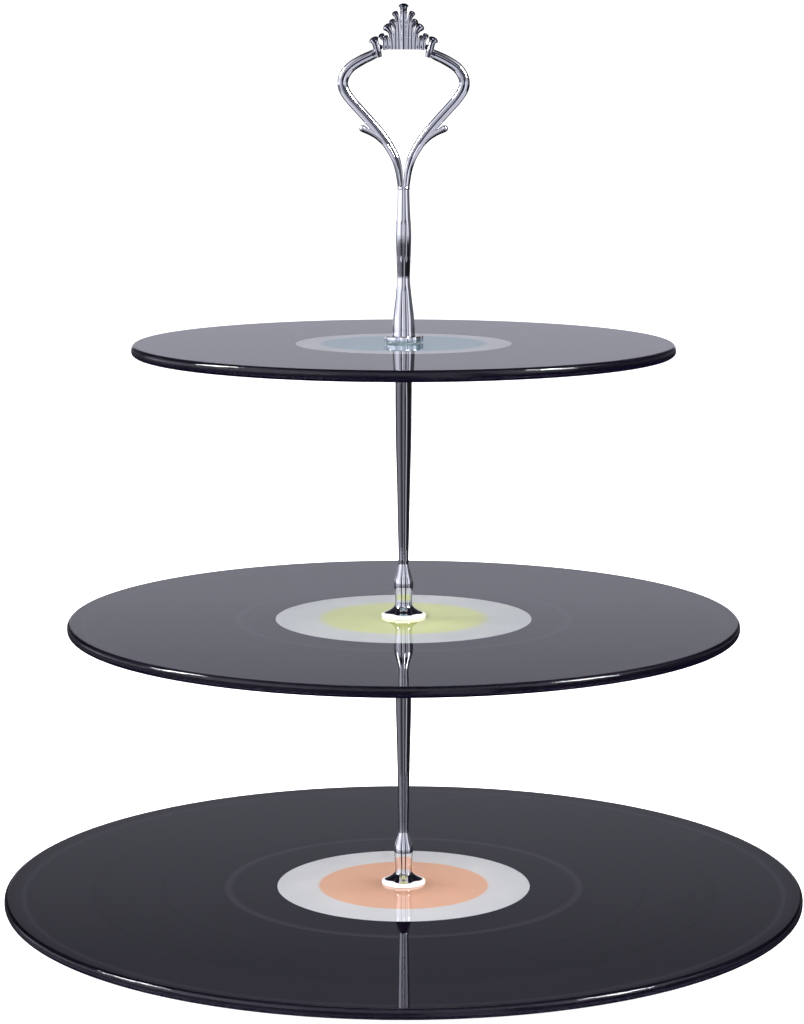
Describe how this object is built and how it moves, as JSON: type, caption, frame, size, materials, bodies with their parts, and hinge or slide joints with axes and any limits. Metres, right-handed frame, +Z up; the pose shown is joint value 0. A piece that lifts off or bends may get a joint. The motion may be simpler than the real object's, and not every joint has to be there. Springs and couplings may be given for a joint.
{
  "type": "tiered cake stand",
  "caption": "Tiered cake stand of round glass plates on a screwed chromed post, with an open loop handle and a palmette crown.",
  "frame": {"origin": "centre of the footprint at the level of the feet", "axes": "+Z up the post, handle loop in the XZ plane, front towards -Y"},
  "size_m": [0.3048, 0.3048, 0.3436],
  "materials": {
    "glass": "polished clear tempered glass",
    "black_print": "black enamel ink with fine grooves",
    "label_grey": "pale grey ink",
    "label_peach": "peach ink",
    "label_green": "yellow-green ink",
    "label_blue": "pale blue ink",
    "foot_rubber": "translucent bumper rubber",
    "white_plastic": "white moulded plastic",
    "clear_plastic": "thin clear plastic",
    "zinc_steel": "zinc-plated steel",
    "chrome": "bright chrome on a zinc casting"
  },
  "bodies": {
    "base": {"bottom_plate": "glass", "bottom_print": "black_print", "bottom_label_ring": "label_grey", "bottom_label_disc": "label_peach", "rubber_foot_1": "foot_rubber", "rubber_foot_2": "foot_rubber", "rubber_foot_3": "foot_rubber", "rubber_foot_4": "foot_rubber", "base_plastic_washer": "white_plastic", "base_steel_washer": "zinc_steel", "base_screw": "zinc_steel"},
    "lower_washer": {"lower_washer": "white_plastic"},
    "lower_post": {"lower_pillar": "chrome", "lower_stud": "zinc_steel", "middle_seat_washer": "white_plastic"},
    "middle_tier": {"middle_plate": "glass", "middle_print": "black_print", "middle_label_ring": "label_grey", "middle_label_disc": "label_green"},
    "upper_washer": {"upper_washer": "white_plastic"},
    "upper_post": {"upper_pillar": "chrome", "upper_stud": "zinc_steel", "top_seat_washer": "white_plastic"},
    "top_tier": {"top_plate": "glass", "top_print": "black_print", "top_label_ring": "label_grey", "top_label_disc": "label_blue"},
    "handle_washer": {"handle_washer": "clear_plastic"},
    "handle": {"crown_handle": "chrome"}
  },
  "joints": [
    {"name": "lower_post_rise", "type": "slide", "parent": "base", "child": "lower_washer", "axis": [0, 0, 1], "range_m": [0, 0.009]},
    {"name": "lower_post_unscrew", "type": "hinge", "parent": "lower_washer", "child": "lower_post", "pos_m": [0, 0, 0], "axis": [0, 0, 1], "range_deg": [0, 4629.1]},
    {"name": "upper_post_rise", "type": "slide", "parent": "lower_post", "child": "upper_washer", "axis": [0, 0, 1], "range_m": [0, 0.009]},
    {"name": "upper_post_unscrew", "type": "hinge", "parent": "upper_washer", "child": "upper_post", "pos_m": [0, 0, 0], "axis": [0, 0, 1], "range_deg": [0, 4629.1]},
    {"name": "handle_rise", "type": "slide", "parent": "upper_post", "child": "handle_washer", "axis": [0, 0, 1], "range_m": [0, 0.009]},
    {"name": "handle_unscrew", "type": "hinge", "parent": "handle_washer", "child": "handle", "pos_m": [0, 0, 0], "axis": [0, 0, 1], "range_deg": [0, 4629.1]},
    {"name": "middle_tier_swivel", "type": "hinge", "parent": "lower_post", "child": "middle_tier", "pos_m": [0, 0, 0], "axis": [0, 0, 1], "continuous": true},
    {"name": "top_tier_swivel", "type": "hinge", "parent": "upper_post", "child": "top_tier", "pos_m": [0, 0, 0], "axis": [0, 0, 1], "continuous": true}
  ],
  "couplings": [
    {"joint": "lower_post_unscrew", "follows": "lower_post_rise", "rad_per_m": 8976},
    {"joint": "upper_post_unscrew", "follows": "upper_post_rise", "rad_per_m": 8976},
    {"joint": "handle_unscrew", "follows": "handle_rise", "rad_per_m": 8976}
  ]
}
